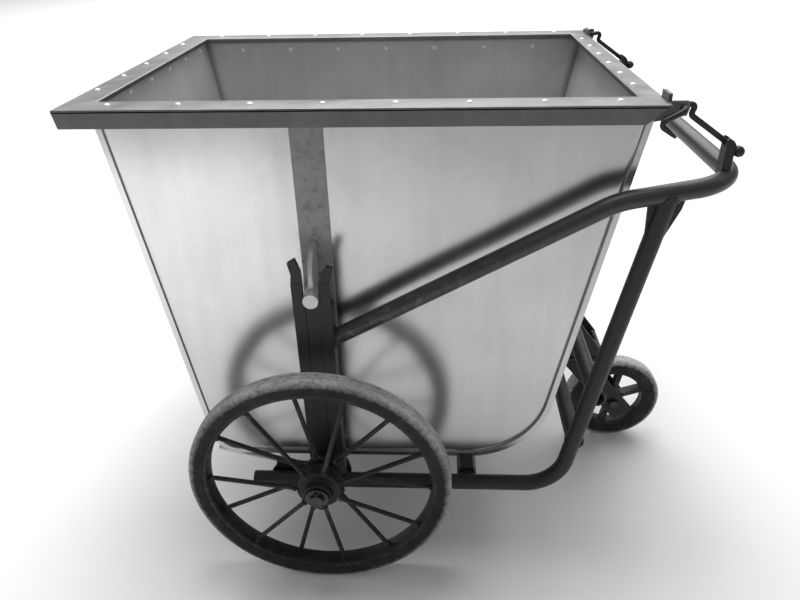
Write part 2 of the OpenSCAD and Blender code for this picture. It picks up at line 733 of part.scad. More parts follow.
module caster_tyre() color("gray") from_axle() about_caster() rotate_extrude($fn = 96)
    polygon(tyre_profile(caster_core_r, caster_r, caster_w, 10));

// ---------- selection ----------

hopper_wrapper();
hopper_side_left();
hopper_side_right();
rim_rail_left();
rim_rail_right();
rim_rail_front();
rim_rail_rear();
rim_cap();
rim_rivets();
wall_rivets();
side_strips();
trunnion_pin_left();
trunnion_pin_right();
trunnion_gussets();
corner_skids();
latch_brackets();
latch_rod_left();
latch_rod_right();
handle_tube();
leg_tube_left();
leg_tube_right();
leg_gussets();
post_left();
post_right();
pin_guides();
rail_plates();
cross_tube_front();
cross_tube_middle();
cross_tube_low();
cross_tube_high();
rest_blocks();
caster_mount_plate();
caster_mount_gussets();
latch_catches();
rail_end_caps();
stub_axle_left();
stub_axle_right();
axle_collars();
cotter_pins();
wheel_left_tyre();
wheel_left_rim();
wheel_left_spokes();
wheel_left_hub();
wheel_left_bearings();
wheel_right_tyre();
wheel_right_rim();
wheel_right_spokes();
wheel_right_hub();
wheel_right_bearings();
caster_top_plate();
caster_mount_bolts();
caster_swivel_race();
caster_kingpin();
caster_fork();
caster_axle_bolt();
caster_rim();
caster_spokes();
caster_hub();
caster_bush();
caster_tyre();
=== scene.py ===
"""Looks of the three-wheel tipping refuse cart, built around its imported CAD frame."""

import json
import math
import random

import bmesh
import bpy
from mathutils import Matrix, Vector


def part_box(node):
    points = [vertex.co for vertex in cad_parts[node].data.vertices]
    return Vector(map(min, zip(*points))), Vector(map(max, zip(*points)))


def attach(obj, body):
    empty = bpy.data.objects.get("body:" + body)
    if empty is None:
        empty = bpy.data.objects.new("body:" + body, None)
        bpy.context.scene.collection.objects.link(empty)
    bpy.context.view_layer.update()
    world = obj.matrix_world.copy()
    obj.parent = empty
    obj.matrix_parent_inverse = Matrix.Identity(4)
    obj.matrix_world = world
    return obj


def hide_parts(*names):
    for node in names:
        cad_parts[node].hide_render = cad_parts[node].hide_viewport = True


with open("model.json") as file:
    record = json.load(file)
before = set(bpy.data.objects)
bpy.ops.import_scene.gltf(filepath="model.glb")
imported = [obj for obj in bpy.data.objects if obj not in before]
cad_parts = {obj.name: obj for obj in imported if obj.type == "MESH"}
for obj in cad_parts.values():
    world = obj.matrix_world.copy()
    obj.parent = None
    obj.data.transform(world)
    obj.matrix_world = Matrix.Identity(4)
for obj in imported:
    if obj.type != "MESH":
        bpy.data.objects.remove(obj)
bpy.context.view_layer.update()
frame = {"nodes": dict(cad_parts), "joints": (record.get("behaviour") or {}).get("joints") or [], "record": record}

MM = 0.001
TAU = 2 * math.pi
SIDES = (("left", -1), ("right", 1))
TUBE_R = 15.5 * MM
PLATE_T = 6 * MM

# ---------------------------------------------------------------- mesh helpers


class Shape:
    """Collects vertices and faces of one piece."""

    def __init__(self):
        self.verts = []
        self.faces = []

    def add(self, verts, faces):
        base = len(self.verts)
        self.verts.extend(tuple(v) for v in verts)
        self.faces.extend(tuple(i + base for i in f) for f in faces)
        return self

    def piece(self, name, body, slot, material, replaces=()):
        """Makes the object, turns its faces outwards, and puts it on its CAD body."""
        mesh = bpy.data.meshes.new(name)
        mesh.from_pydata(self.verts, [], self.faces)
        work = bmesh.new()
        work.from_mesh(mesh)
        bmesh.ops.recalc_face_normals(work, faces=work.faces)
        work.to_mesh(mesh)
        work.free()
        mesh.polygons.foreach_set("use_smooth", [True] * len(mesh.polygons))
        obj = bpy.data.objects.new(name, mesh)
        bpy.context.scene.collection.objects.link(obj)
        obj.data.materials.append(material)
        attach(obj, body)
        if replaces:
            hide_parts(*replaces)
        return obj


def across(axis):
    """Two unit vectors at right angles to axis and to each other."""
    axis = Vector(axis).normalized()
    helper = Vector((0, 0, 1)) if abs(axis.z) < 0.9 else Vector((1, 0, 0))
    side = axis.cross(helper).normalized()
    return side, axis.cross(side).normalized()


def lathe(shape, profile, centre, axis, segments=96, closed=True):
    """Turns a profile of (radius, distance along the axis) about the axis through centre."""
    axis = Vector(axis).normalized()
    side, up = across(axis)
    count = len(profile)
    verts = []
    for i in range(segments):
        a = TAU * i / segments
        out = side * math.cos(a) + up * math.sin(a)
        verts += [Vector(centre) + out * r + axis * d for r, d in profile]
    faces = []
    for i in range(segments):
        j = (i + 1) % segments
        for k in range(count if closed else count - 1):
            n = (k + 1) % count
            faces.append((i * count + k, i * count + n, j * count + n, j * count + k))
    if not closed:
        faces.append([i * count for i in range(segments)])
        faces.append([i * count + count - 1 for i in range(segments)])
    return shape.add(verts, faces)


def sweep(shape, path, radius, sides=16, closed=False):
    """A round bar along a path. radius is a number, or one number for each point."""
    path = [Vector(p) for p in path]
    count = len(path)
    radii = radius if isinstance(radius, list) else [radius] * count
    verts = []
    normal = None
    for i, p in enumerate(path):
        before = path[i - 1] if i or closed else p
        after = path[(i + 1) % count] if i < count - 1 or closed else p
        along = (after - before).normalized()
        if normal is None:
            normal = across(along)[0]
        normal = (normal - along * normal.dot(along)).normalized()
        other = along.cross(normal)
        for k in range(sides):
            a = TAU * k / sides
            verts.append(p + (normal * math.cos(a) + other * math.sin(a)) * radii[i])
    faces = []
    for i in range(count if closed else count - 1):
        j = (i + 1) % count
        for k in range(sides):
            n = (k + 1) % sides
            faces.append((i * sides + k, i * sides + n, j * sides + n, j * sides + k))
    if not closed:
        faces.append(list(range(sides)))
        faces.append([(count - 1) * sides + k for k in range(sides)])
    return shape.add(verts, faces)


def rounded(points, radius, step=6):
    """The path through points with each corner rounded to radius, in step pieces."""
    points = [Vector(p) for p in points]
    path = [points[0]]
    for a, b, c in zip(points, points[1:], points[2:]):
        u = (a - b).normalized()
        v = (c - b).normalized()
        half = u.angle(v) / 2
        cut = min(radius / math.tan(half), (a - b).length * 0.49, (c - b).length * 0.49)
        middle = b + (u + v).normalized() * (cut / math.cos(half))
        start, end = b + u * cut - middle, b + v * cut - middle
        turn = start.angle(end)
        for i in range(step + 1):
            t = i / step
            mix = start * math.sin((1 - t) * turn) + end * math.sin(t * turn)
            path.append(middle + mix / math.sin(turn))
    return path + [points[-1]]


def line(a, b, step=3 * MM):
    """Points from a to b, about a step apart."""
    a, b = Vector(a), Vector(b)
    count = max(2, round((b - a).length / step))
    return [a.lerp(b, i / count) for i in range(count + 1)]


def bead(shape, path, size, dice, closed=False):
    """A weld bead along a path: small waves with a little unevenness."""
    pitch = 2.6
    radii = [size * (1 + 0.16 * math.sin(i * pitch) + dice.uniform(-0.1, 0.1))
             for i in range(len(path))]
    sweep(shape, path, radii, 8, closed)


def weld_collar(shape, at, along, radius, size, dice):
    """A ring of weld round a bar."""
    side, up = across(along)
    count = 20
    path = [at + (side * math.cos(TAU * i / count) + up * math.sin(TAU * i / count)) * radius
            for i in range(count)]
    bead(shape, path, size, dice, closed=True)


def soften(obj, width, segments=2, angle=32):
    """Rounds the sharp edges of a piece."""
    bevel = obj.modifiers.new("bevel", "BEVEL")
    bevel.width = width
    bevel.segments = segments
    bevel.limit_method = "ANGLE"
    bevel.angle_limit = math.radians(angle)
    normals = obj.modifiers.new("normals", "WEIGHTED_NORMAL")
    normals.keep_sharp = True
    return obj


def centre_of(*nodes):
    """The middle of the box around CAD nodes."""
    lows, highs = zip(*(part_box(n) for n in nodes))
    low = Vector(min(p[i] for p in lows) for i in range(3))
    high = Vector(max(p[i] for p in highs) for i in range(3))
    return (low + high) / 2


# ---------------------------------------------------------------- materials


class Paint:
    """A procedural material with a few shorthands for its nodes."""

    def __init__(self, name, metallic=0.0):
        self.material = bpy.data.materials.new(name)
        self.material.use_nodes = True
        self.tree = self.material.node_tree
        self.shader = self.tree.nodes["Principled BSDF"]
        self.shader.inputs["Metallic"].default_value = metallic
        self.place = self.tree.nodes.new("ShaderNodeTexCoord").outputs["Object"]

    def link(self, source, target):
        self.tree.links.new(source, target)

    def stretched(self, scale):
        """Object coordinates, scaled along each axis."""
        mapping = self.tree.nodes.new("ShaderNodeMapping")
        mapping.inputs["Scale"].default_value = scale
        self.link(self.place, mapping.inputs["Vector"])
        return mapping.outputs["Vector"]

    def noise(self, scale, detail=4.0, rough=0.55, where=None):
        node = self.tree.nodes.new("ShaderNodeTexNoise")
        node.inputs["Scale"].default_value = scale
        node.inputs["Detail"].default_value = detail
        node.inputs["Roughness"].default_value = rough
        self.link(where or self.place, node.inputs["Vector"])
        return node.outputs["Fac"]

    def spread(self, value, low, high, to_low=0.0, to_high=1.0):
        """Maps low..high of a value onto to_low..to_high."""
        node = self.tree.nodes.new("ShaderNodeMapRange")
        node.inputs["From Min"].default_value = low
        node.inputs["From Max"].default_value = high
        node.inputs["To Min"].default_value = to_low
        node.inputs["To Max"].default_value = to_high
        self.link(value, node.inputs["Value"])
        return node.outputs["Result"]

    def math(self, operation, a, b):
        node = self.tree.nodes.new("ShaderNodeMath")
        node.operation = operation
        for socket, value in zip(node.inputs, (a, b)):
            if isinstance(value, (int, float)):
                socket.default_value = value
            else:
                self.link(value, socket)
        return node.outputs["Value"]

    def mix(self, amount, a, b):
        """A colour between a and b; each is an (r, g, b) or a socket."""
        node = self.tree.nodes.new("ShaderNodeMix")
        node.data_type = "RGBA"
        self.link(amount, node.inputs["Factor"])
        for socket, value in zip((node.inputs[6], node.inputs[7]), (a, b)):
            if isinstance(value, tuple):
                socket.default_value = (*value, 1)
            else:
                self.link(value, socket)
        return node.outputs[2]

    def bump(self, height, distance, under=None):
        """A normal from a height, over another bump's normal if one is given."""
        node = self.tree.nodes.new("ShaderNodeBump")
        node.inputs["Distance"].default_value = distance
        self.link(height, node.inputs["Height"])
        if under is not None:
            self.link(under, node.inputs["Normal"])
        return node.outputs["Normal"]

    def facing_up(self):
        """1 on faces that look up, where dust settles, and 0 on the others."""
        geometry = self.tree.nodes.new("ShaderNodeNewGeometry")
        split = self.tree.nodes.new("ShaderNodeSeparateXYZ")
        self.link(geometry.outputs["Normal"], split.inputs["Vector"])
        return self.spread(split.outputs["Z"], 0.35, 0.95)

    def worn_edges(self):
        """1 on sharp outer edges and 0 on flat and hollow faces."""
        geometry = self.tree.nodes.new("ShaderNodeNewGeometry")
        return self.spread(geometry.outputs["Pointiness"], 0.53, 0.6)

    def done(self, colour=None, roughness=None, normal=None):
        for name, value in (("Base Color", colour), ("Roughness", roughness), ("Normal", normal)):
            if value is not None:
                self.link(value, self.shader.inputs[name])
        return self.material


def grey(v, blue=0.0):
    """A grey of lightness v, with a share of blue."""
    return (v, v * (1 + blue * 0.4), v * (1 + blue))


def galvanised(name, dark, light, rough_low, rough_high, wave=0.0035, metallic=1.0, wave_scale=3.2):
    """Hot-dip galvanised sheet: faint spangle, cloudy patches and soft vertical streaks."""
    p = Paint(name, metallic)
    clouds = p.noise(4.5, 4.0, 0.5)
    streaks = p.noise(1.0, 4.0, 0.55, where=p.stretched((34, 34, 3.0)))
    spangle = p.noise(90.0, 1.0)
    tone = p.math("ADD", p.math("MULTIPLY", clouds, 0.64), p.math("MULTIPLY", streaks, 0.26))
    tone = p.math("ADD", tone, p.math("MULTIPLY", spangle, 0.1))
    colour = p.mix(p.spread(tone, 0.1, 0.9), grey(dark, 0.03), grey(light, 0.02))
    rough = p.spread(clouds, 0.0, 1.0, rough_low, rough_high)
    return p.done(colour, rough, p.bump(p.noise(wave_scale, 1.0), wave))


def steel_paint(name, base, light, rough_low=0.42, rough_high=0.62, dust=0.07, shine=0.32,
                rubbed=0.16):
    """Brushed-on dark paint over steel: uneven gloss, brush marks, dust on top and rubbed edges."""
    p = Paint(name)
    p.shader.inputs["Specular IOR Level"].default_value = shine
    patches = p.noise(14.0, 6.0, 0.6)
    brush = p.noise(1.0, 5.0, 0.7, where=p.stretched((60, 300, 120)))
    tone = p.math("ADD", p.math("MULTIPLY", patches, 0.65), p.math("MULTIPLY", brush, 0.35))
    colour = p.mix(p.spread(tone, 0.32, 0.72), grey(base), grey(light))
    dusty = p.math("MULTIPLY", p.facing_up(), p.spread(p.noise(9.0, 5.0, 0.6), 0.3, 0.85))
    colour = p.mix(dusty, colour, grey(dust))
    worn = p.math("MULTIPLY", p.worn_edges(), p.spread(p.noise(60.0, 3.0), 0.48, 0.7))
    colour = p.mix(worn, colour, grey(rubbed))
    rough = p.spread(tone, 0.3, 0.72, rough_low, rough_high)
    orange_peel = p.bump(p.noise(320.0, 2.0), 0.00018)
    return p.done(colour, rough, p.bump(brush, 0.00022, orange_peel))


def plain_steel(name, base, rough_low, rough_high):
    """Zinc-plated or machined steel that has gone dull."""
    p = Paint(name, metallic=1.0)
    patches = p.noise(38.0, 6.0, 0.65)
    colour = p.mix(p.spread(patches, 0.35, 0.7), grey(base), grey(base * 1.55))
    rough = p.spread(p.noise(90.0, 3.0), 0.3, 0.7, rough_low, rough_high)
    return p.done(colour, rough, p.bump(p.noise(420.0, 2.0), 0.0001))


def rubber(name, base, side_dust, dust, centre, radius, depth):
    """Matt rubber with a light tread, depth deep, on a wheel of this centre and radius. The tread's lightness is
    partly dust and partly painted light from above.
    """
    p = Paint(name)
    p.shader.inputs["Specular IOR Level"].default_value = 0.25
    split = p.tree.nodes.new("ShaderNodeSeparateXYZ")
    p.link(p.place, split.inputs["Vector"])
    dx = p.math("SUBTRACT", split.outputs["X"], centre.x)
    dz = p.math("SUBTRACT", split.outputs["Z"], centre.z)
    squares = p.math("ADD", p.math("POWER", dx, 2.0), p.math("POWER", dz, 2.0))
    out = p.math("POWER", squares, 0.5)
    grit = p.noise(120.0, 8.0, 0.75)
    ragged = p.math("ADD", out, p.spread(grit, 0.3, 0.7, -2.5 * MM, 2.5 * MM))
    # the tread band: a light colour that is partly dust and partly painted light from above
    tread = p.spread(ragged, radius - depth * 1.5, radius - depth * 0.15)
    tone = p.spread(p.noise(9.0, 5.0), 0.3, 0.7, 0.55, 1.0)
    amount = p.math("MULTIPLY", p.math("MULTIPLY", tread, tone),
                    p.spread(grit, 0.25, 0.55, 0.35, 1.0))
    side = p.mix(p.spread(p.noise(30.0, 6.0, 0.7), 0.42, 0.72), grey(base), grey(side_dust))
    colour = p.mix(amount, side, grey(dust))
    rough = p.spread(grit, 0.3, 0.7, 0.6, 0.9)
    return p.done(colour, rough, p.bump(p.noise(260.0, 5.0, 0.7), 0.0006))


wheel_centre = centre_of("wheel_left_tyre")
wheel_r = (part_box("wheel_left_tyre")[1].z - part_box("wheel_left_tyre")[0].z) / 2
caster_centre = centre_of("caster_tyre")
caster_r = (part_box("caster_tyre")[1].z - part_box("caster_tyre")[0].z) / 2

SHEET = galvanised("galvanised_sheet", 0.38, 0.73, 0.22, 0.27)
# inside faces: the sheet's own colours, but less metallic and rougher, so the shaded inside shows brighter;
# painted light
INNER_LIGHTENED = galvanised("galvanised_inside_lightened", 0.36, 0.72, 0.4, 0.55, 0.003, 0.45)
CAP = galvanised("galvanised_cap", 0.08, 0.3, 0.26, 0.5, 0.004, 1.0, 14.0)
PIN = galvanised("galvanised_pin", 0.42, 0.72, 0.36, 0.5, 0.0, 0.5)
# rivet heads: near-white and barely metallic, a painted highlight so they show as bright dots, also on the shaded
# inside walls
RIVET_PAINTED_GLINT = galvanised("rivet_painted_glint", 0.78, 0.94, 0.36, 0.48, 0.0, 0.15)
FRAME = steel_paint("frame_paint", 0.012, 0.022, 0.38, 0.55, 0.04, 0.36, 0.03)
HANDLE = steel_paint("handle_paint", 0.014, 0.026, 0.3, 0.42, 0.09, 0.6)
RIM = steel_paint("rim_paint", 0.1, 0.17, 0.42, 0.62, 0.2)
STRIP = steel_paint("strip_paint", 0.22, 0.36, 0.4, 0.55, 0.3)
WHEEL = steel_paint("wheel_paint", 0.006, 0.014, 0.38, 0.56, 0.04, 0.3)
STEEL = plain_steel("plain_steel", 0.055, 0.36, 0.54)
WELD = plain_steel("weld_metal", 0.22, 0.4, 0.6)
# tread colours 0.5 and 0.7: partly dust, partly painted light from above
TYRE = rubber("tyre_rubber", 0.012, 0.035, 0.5, wheel_centre, wheel_r, 9 * MM)
CASTER_RUBBER = rubber("caster_rubber", 0.015, 0.05, 0.7, caster_centre, caster_r, 8 * MM)
CORE = steel_paint("caster_core_paint", 0.01, 0.024)

# ---------------------------------------------------------------- CAD nodes that stay

# material, width of the rounded edges in mm, nodes
NODE_LOOKS = (
    (SHEET, 0.4, ("hopper_wrapper", "corner_skids")),
    (PIN, 0.8, ("trunnion_pin_left", "trunnion_pin_right", "trunnion_gussets")),
    (RIM, 1.2, ("rim_rail_left", "rim_rail_right", "rim_rail_front", "rim_rail_rear")),
    (STRIP, 0.6, ("side_strips",)),
    (RIM, 0.8, ("latch_brackets",)),
    (HANDLE, 0.0, ("handle_tube",)),
    (FRAME, 0.0, ("leg_tube_left", "leg_tube_right", "cross_tube_front",
                  "cross_tube_middle", "cross_tube_low", "cross_tube_high")),
    (FRAME, 1.2, ("leg_gussets", "pin_guides", "rail_plates", "rest_blocks",
                  "caster_mount_plate", "caster_mount_gussets", "latch_catches", "rail_end_caps",
                  "post_left", "post_right", "caster_fork")),
    (CORE, 1.2, ("caster_rim", "caster_spokes", "caster_hub")),
    (STEEL, 0.6, ("stub_axle_left", "stub_axle_right", "axle_collars",
                  "wheel_left_bearings", "wheel_right_bearings", "caster_top_plate",
                  "caster_kingpin", "caster_bush")),
)


def dress(node, material, bevel):
    """Gives a CAD node its material and rounds its edges with modifiers."""
    obj = frame["nodes"][node]
    obj.data.materials.clear()
    obj.data.materials.append(material)
    if "custom_normal" in obj.data.attributes:
        obj.data.attributes.remove(obj.data.attributes["custom_normal"])
    obj.data.polygons.foreach_set("use_smooth", [True] * len(obj.data.polygons))
    weld = obj.modifiers.new("weld", "WELD")
    weld.merge_threshold = 0.02 * MM
    if bevel:
        soften(obj, bevel * MM)
    else:
        split = obj.modifiers.new("edges", "EDGE_SPLIT")
        split.split_angle = math.radians(35)


HEART = Vector((centre_of("rim_cap").x, 0, 0.65))  # a point in the middle of the hopper


def line_inside(obj, inside):
    """Gives the faces that look into the hopper a second material. For the sheet this is a less metallic copy that
    makes the shaded inside show brighter: painted light.
    """
    obj.data.materials.append(inside)
    for face in obj.data.polygons:
        if face.normal.dot(HEART - face.center) > 0:
            face.material_index = 1


for look, width, names in NODE_LOOKS:
    for name in names:
        dress(name, look, width)
line_inside(frame["nodes"]["hopper_wrapper"], INNER_LIGHTENED)

# ---------------------------------------------------------------- hopper

PANEL_STEP = 26 * MM
PANEL_RINGS = 22
BELLY = 1.3 * MM
STRIP_REACH = 70 * MM
FRONT_LEAN = math.radians(7.7)
RIVET_R = 5.4 * MM
RIVET_H = 3.6 * MM
RIVET_SINK = 2 * MM  # from the middle of a CAD rivet down to its sheet


def outline_of(node, y):
    """The convex XZ outline of a CAD node's flat face at y, in order round its middle."""
    seen = {}
    for v in frame["nodes"][node].data.vertices:
        if abs(v.co.y - y) < 0.1 * MM:
            seen[(round(v.co.x, 5), round(v.co.z, 5))] = True
    cx = sum(x for x, _ in seen) / len(seen)
    cz = sum(z for _, z in seen) / len(seen)
    return sorted(seen, key=lambda p: math.atan2(p[1] - cz, p[0] - cx))


def resampled(outline, spacing):
    """The same outline with points no further apart than spacing."""
    points = []
    for (x0, z0), (x1, z1) in zip(outline, outline[1:] + outline[:1]):
        count = max(1, math.ceil(math.hypot(x1 - x0, z1 - z0) / spacing))
        points += [(x0 + (x1 - x0) * i / count, z0 + (z1 - z0) * i / count) for i in range(count)]
    return points


strip_x = centre_of("side_strips").x


def side_panel(side, sign):
    """A side panel as a real sheet: it bellies out a little between the strip and the seams."""
    node = f"hopper_side_{side}"
    low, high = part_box(node)
    outer = low.y if sign < 0 else high.y
    inner = high.y if sign < 0 else low.y
    outline = resampled(outline_of(node, outer), PANEL_STEP)
    mid_x, mid_z = (low.x + high.x) / 2, (low.z + high.z) / 2
    rings = [1 - i / PANEL_RINGS for i in range(PANEL_RINGS)]
    verts, faces = [], []
    count = len(outline)

    def belly(x, z, t):
        off_strip = 1 - math.exp(-(((x - strip_x) / STRIP_REACH) ** 2))
        wave = 0.5 + 0.5 * math.sin(7.0 * x + 1.3) * math.cos(5.5 * z)
        return BELLY * off_strip * wave * (1 - t ** 4)

    for y in (outer, inner):
        start = len(verts)
        for t in rings:
            for x, z in outline:
                px, pz = mid_x + (x - mid_x) * t, mid_z + (z - mid_z) * t
                verts.append((px, y + sign * belly(px, pz, t), pz))
        verts.append((mid_x, y + sign * belly(mid_x, mid_z, 0), mid_z))
        for r in range(len(rings) - 1):
            for k in range(count):
                n = (k + 1) % count
                a, b = start + r * count, start + (r + 1) * count
                faces.append((a + k, a + n, b + n, b + k))
        last = start + (len(rings) - 1) * count
        faces += [(last + k, last + (k + 1) % count, len(verts) - 1) for k in range(count)]
    half = len(verts) // 2
    faces += [(k, (k + 1) % count, half + (k + 1) % count, half + k) for k in range(count)]
    panel = Shape().add(verts, faces).piece(
        f"hopper_panel_{side}", "hopper", "galvanised_steel", SHEET, [node])
    line_inside(panel, INNER_LIGHTENED)


def rim_cap():
    """The galvanised flange over the rim, with a rolled outer edge and a hem inside."""
    low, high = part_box("rim_cap")
    xs = sorted({round(v.co.x, 5) for v in frame["nodes"]["rim_cap"].data.vertices})
    ys = sorted({round(v.co.y, 5) for v in frame["nodes"]["rim_cap"].data.vertices})
    inner_low, inner_high = Vector((xs[1], ys[1])), Vector((xs[-2], ys[-2]))
    # share of the way inwards, height over the CAD top in mm
    section = ((0.0, -5.5), (0.0, -1.6), (0.012, -0.5), (0.04, 0.0), (0.3, 0.9), (0.6, 1.3),
               (0.9, 0.7), (0.975, 0.0), (1.0, -1.2), (1.0, -7.0), (0.985, -7.6), (0.97, -7.0),
               (0.97, -2.4), (0.9, -1.6), (0.05, -2.2), (0.02, -3.0), (0.02, -5.5))
    verts = []
    for t, h in section:
        x0 = low.x + (inner_low.x - low.x) * t
        x1 = high.x + (inner_high.x - high.x) * t
        y0 = low.y + (inner_low.y - low.y) * t
        y1 = high.y + (inner_high.y - high.y) * t
        z = high.z + h * MM
        verts += [(x0, y0, z), (x1, y0, z), (x1, y1, z), (x0, y1, z)]
    faces = []
    for i in range(len(section)):
        j = (i + 1) % len(section)
        for k in range(4):
            n = (k + 1) % 4
            faces.append((4 * i + k, 4 * i + n, 4 * j + n, 4 * j + k))
    obj = Shape().add(verts, faces).piece(
        "rim_flange", "hopper", "galvanised_steel", CAP, ["rim_cap"])
    soften(obj, 0.3 * MM, 1, 50)


def islands(node):
    """The middle of each separate solid in a CAD node."""
    mesh = frame["nodes"][node].data
    work = bmesh.new()
    work.from_mesh(mesh)
    bmesh.ops.remove_doubles(work, verts=work.verts, dist=0.01 * MM)
    found, seen = [], set()
    for v in work.verts:
        if v.index in seen:
            continue
        stack, group = [v], []
        seen.add(v.index)
        while stack:
            u = stack.pop()
            group.append(u.co.copy())
            for e in u.link_edges:
                w = e.other_vert(u)
                if w.index not in seen:
                    seen.add(w.index)
                    stack.append(w)
        low = Vector(min(c[i] for c in group) for i in range(3))
        high = Vector(max(c[i] for c in group) for i in range(3))
        found.append((low + high) / 2)
    work.free()
    return sorted(found, key=lambda middle: tuple(round(c, 4) for c in middle))


def rivets(node, name, normal_of):
    """Domed rivet heads with a small pressed rim, where the CAD has them. Their near-white colour is a painted
    highlight.
    """
    shape = Shape()
    dice = random.Random(7)
    for middle in islands(node):
        normal = normal_of(middle)
        radius = RIVET_R * dice.uniform(0.92, 1.05)
        base = middle - normal * RIVET_SINK
        profile = [(radius * math.cos(a), RIVET_H * math.sin(a) + 0.2 * MM)
                   for a in (math.radians(d) for d in (88, 70, 50, 30, 12, 0))]
        profile += [(radius * 1.08, 0.0), (radius * 1.08, -0.4 * MM)]
        tilt = Vector((dice.uniform(-0.05, 0.05), dice.uniform(-0.05, 0.05), 0))
        lathe(shape, profile, base, normal + tilt, 20, closed=False)
    shape.piece(name, "hopper", "galvanised_steel", RIVET_PAINTED_GLINT, [node])


def wall_normal(middle):
    """Inwards from the hopper wall that a rivet stands on."""
    side_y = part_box("hopper_side_right")[1].y
    if abs(middle.y) > side_y - 8 * MM:
        return Vector((0, -1 if middle.y > 0 else 1, 0))
    return Vector((math.cos(FRONT_LEAN), 0, math.sin(FRONT_LEAN)))


for side, sign in SIDES:
    side_panel(side, sign)
rim_cap()
rivets("rim_rivets", "rim_rivet_heads", lambda middle: Vector((0, 0, 1)))
rivets("wall_rivets", "wall_rivet_heads", wall_normal)


# ---------------------------------------------------------------- main wheels

SPOKES = 14
FIRST_SPOKE = math.radians(22.4)
SPOKE_R = 4.5 * MM
SPOKE_BEAD = 2.2 * MM
GROOVES = (-4 * MM, 4 * MM)


def tyre_section(radius, half, seat, shoulder, grooves):
    """Tyre profile as (radius, distance along the axle): round shoulders and a grooved tread."""
    flat = half - shoulder
    points = [(seat, -half + 3.2 * MM), (seat + 4 * MM, -half + 0.8 * MM)]
    steps = 9
    for i in range(steps + 1):
        a = math.pi / 2 * i / steps
        points.append((radius - shoulder + shoulder * math.sin(a), -flat - shoulder * math.cos(a)))
    for g in grooves:
        deep = radius - 1.6 * MM
        points += [(radius, g - 1.5 * MM), (deep, g - 0.9 * MM),
                   (deep, g + 0.9 * MM), (radius, g + 1.5 * MM)]
    mirrored = [(r, -d) for r, d in reversed(points[:steps + 3])]
    return points + mirrored


def main_wheel(side, sign):
    """Tyre, rim, hub and spokes with their welds. Spokes go to the two flanges in turn."""
    body = f"main_wheel_{side}"
    tyre, ring, hub = f"wheel_{side}_tyre", f"wheel_{side}_rim", f"wheel_{side}_hub"
    centre = centre_of(tyre)
    low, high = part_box(tyre)
    half = (high.y - low.y) / 2
    seat = (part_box(ring)[1].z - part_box(ring)[0].z) / 2
    out = Vector((0, sign, 0))

    shape = lathe(Shape(), tyre_section(wheel_r, half, seat, 12 * MM, GROOVES),
                  centre, out, 160)
    soften(shape.piece(f"main_tyre_{side}", body, "tyre_rubber", TYRE, [tyre]), 0.3 * MM, 1, 40)

    w = (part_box(ring)[1].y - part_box(ring)[0].y) / 2
    rim = [(seat - 6 * MM, -w + 3 * MM), (seat - 5 * MM, -w + 0.6 * MM),
           (seat - 2 * MM, -w - 0.4 * MM), (seat + 3.6 * MM, -w - 0.6 * MM),
           (seat + 4.4 * MM, -w + 0.4 * MM), (seat + 3.4 * MM, -w + 1.4 * MM),
           (seat, -w + 1.8 * MM)]
    profile = rim + [(r, -d) for r, d in reversed(rim)]
    shape = lathe(Shape(), profile, centre, out, 128)
    shape.piece(f"main_rim_{side}", body, "wheel_paint", WHEEL, [ring])

    flange_r = (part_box(hub)[1].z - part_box(hub)[0].z) / 2
    barrel = (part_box(hub)[1].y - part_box(hub)[0].y) / 2
    barrel_r, flange_at, flange_t = 27 * MM, 20 * MM, 2.5 * MM
    profile = [(14.6 * MM, -barrel + 2 * MM), (22 * MM, -barrel + 0.6 * MM), (23.6 * MM, -barrel),
               (barrel_r - 1.5 * MM, -barrel), (barrel_r, -barrel + 1.5 * MM)]
    for s in (-1, 1):
        inner, outer = s * flange_at - flange_t, s * flange_at + flange_t
        profile += [(barrel_r, inner - 3 * MM), (barrel_r + 2 * MM, inner - 0.6 * MM),
                    (flange_r - 1 * MM, inner), (flange_r, inner + 1 * MM),
                    (flange_r, outer - 1 * MM), (flange_r - 1 * MM, outer),
                    (barrel_r + 2 * MM, outer + 0.6 * MM), (barrel_r, outer + 3 * MM)]
    profile += [(barrel_r, barrel - 1.5 * MM), (barrel_r - 1.5 * MM, barrel), (23.6 * MM, barrel),
                (22 * MM, barrel - 0.6 * MM), (14.6 * MM, barrel - 2 * MM)]
    shape = lathe(Shape(), profile, centre, out, 64)
    soften(shape.piece(f"main_hub_{side}", body, "wheel_paint", WHEEL, [hub]), 0.4 * MM)

    shape, beads = Shape(), Shape()
    dice = random.Random(11 + (sign > 0))
    for i in range(SPOKES):
        a = FIRST_SPOKE + TAU * i / SPOKES
        u = Vector((math.cos(a), 0, math.sin(a)))
        off = flange_at if i % 2 == 0 else -flange_at
        p = centre + u * (flange_r - 5 * MM) + out * off
        q = centre + u * (seat - 5.5 * MM) + out * (off / 4)
        sweep(shape, [p, p.lerp(q, 0.02), p.lerp(q, 0.5), p.lerp(q, 0.98), q], SPOKE_R, 14)
        for t in (0.05, 0.985):
            weld_collar(beads, p.lerp(q, t), q - p, SPOKE_R, SPOKE_BEAD, dice)
    shape.piece(f"main_spokes_{side}", body, "wheel_paint", WHEEL, [f"wheel_{side}_spokes"])
    beads.piece(f"main_spoke_welds_{side}", body, "wheel_paint", WHEEL)


for side, sign in SIDES:
    main_wheel(side, sign)

# ---------------------------------------------------------------- cotter pins


